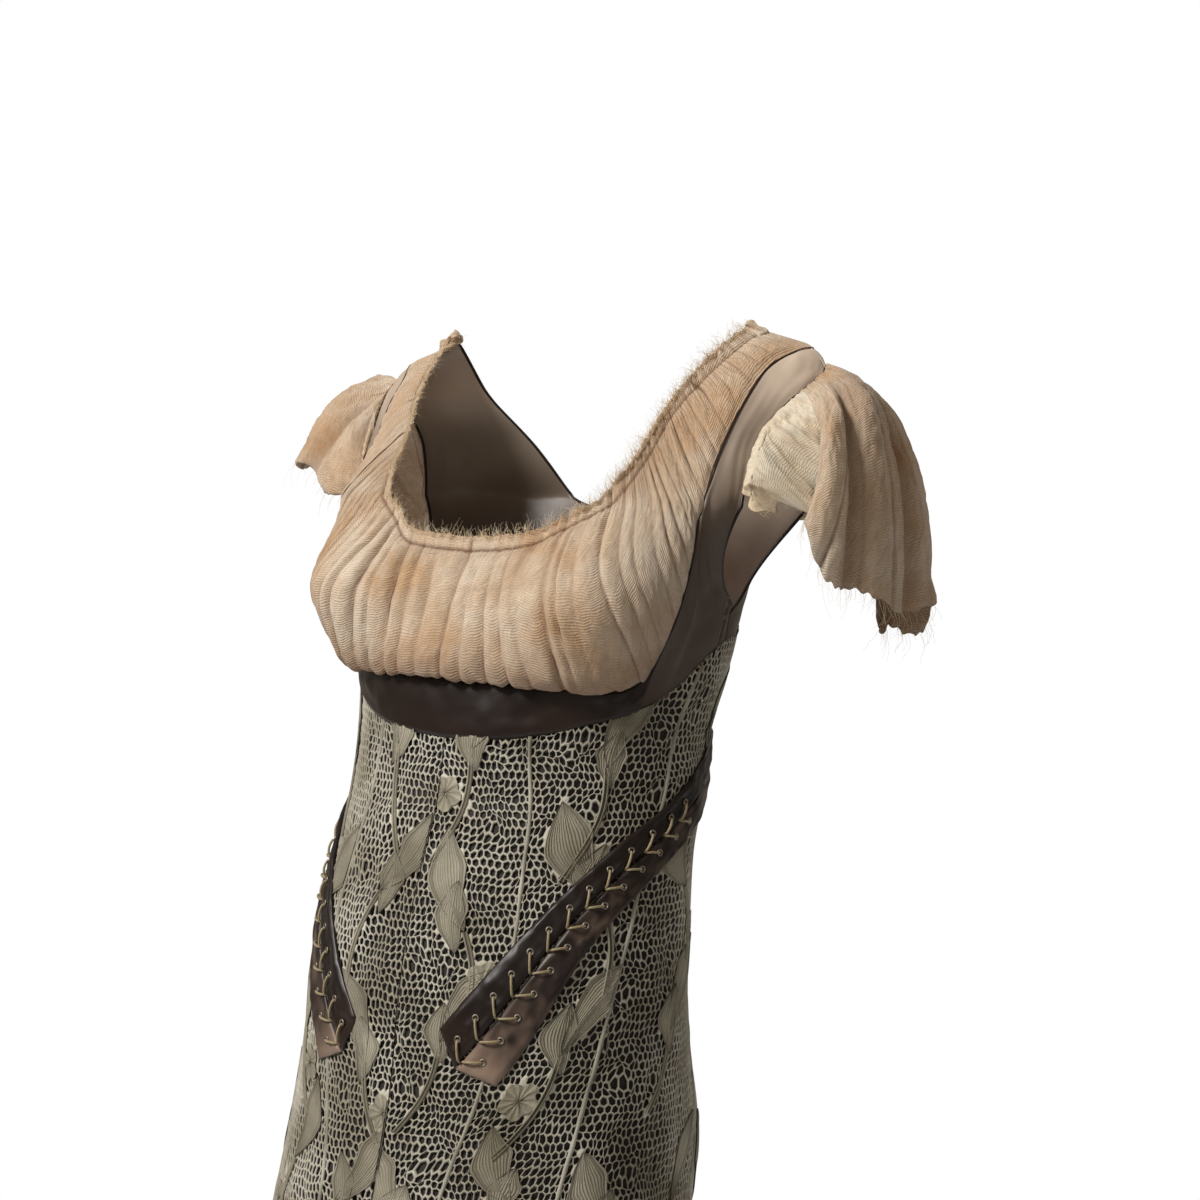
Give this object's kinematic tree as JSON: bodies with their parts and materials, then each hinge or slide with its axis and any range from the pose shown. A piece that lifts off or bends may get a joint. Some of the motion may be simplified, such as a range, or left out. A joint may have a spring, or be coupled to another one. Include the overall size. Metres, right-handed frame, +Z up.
{
  "type": "cocktail dress",
  "caption": "Knee-length dress in worn form: gathered gauze bust, flutter sleeves, satin bodice, lace skirt over a dark lining and slanting laced bands.",
  "frame": {"origin": "between the two shoulder straps, on the worn shoulder line that carries the dress", "axes": "+Z up, front at -Y, the wearer's left at +X"},
  "size_m": [0.5234, 0.4167, 0.9771],
  "materials": {
    "gauze": "crinkled cotton gauze, raw edges, tea-stained ecru",
    "satin": "taupe satin with a soft sheen",
    "dark_satin": "dark chocolate satin with a soft sheen",
    "mauve_satin": "pinkish brown satin with a soft sheen",
    "lace": "matt corded lace in pale sage and cream thread",
    "lining": "near-black plain lining",
    "cord": "twisted bronze-gold cord",
    "zip_tape": "woven zip tape",
    "metal": "aged nickel-brass"
  },
  "bodies": {
    "dress": {"gauze_bust": "gauze", "gauze_strap_left": "gauze", "gauze_strap_right": "gauze", "shoulder_roll_left": "gauze", "shoulder_roll_right": "gauze", "sleeve_left": "gauze", "sleeve_right": "gauze", "sleeve_frill_left": "gauze", "sleeve_frill_right": "gauze", "satin_side_front_left": "satin", "satin_side_front_right": "satin", "satin_back_left": "satin", "satin_back_right": "satin", "underbust_band": "dark_satin", "laced_strip_upper_left": "dark_satin", "laced_strip_upper_right": "dark_satin", "laced_strip_lower_left": "mauve_satin", "laced_strip_lower_right": "mauve_satin", "lace_centre_front_left": "lace", "lace_centre_front_right": "lace", "lace_front_left": "lace", "lace_front_right": "lace", "lace_side_left": "lace", "lace_side_right": "lace", "lace_back_left": "lace", "lace_back_right": "lace", "lining_front": "lining", "lining_back_left": "lining", "lining_back_right": "lining", "lacing_cord_left": "cord", "lacing_cord_right": "cord", "zip_strip": "zip_tape", "zip_slider": "metal"},
    "pull": {"zip_pull": "metal"}
  },
  "joints": [
    {"name": "zip_pull_hinge", "type": "hinge", "parent": "dress", "child": "pull", "pos_m": [0, 0.0546, -0.128], "axis": [1, 0, 0], "range_deg": [0, 170]}
  ]
}
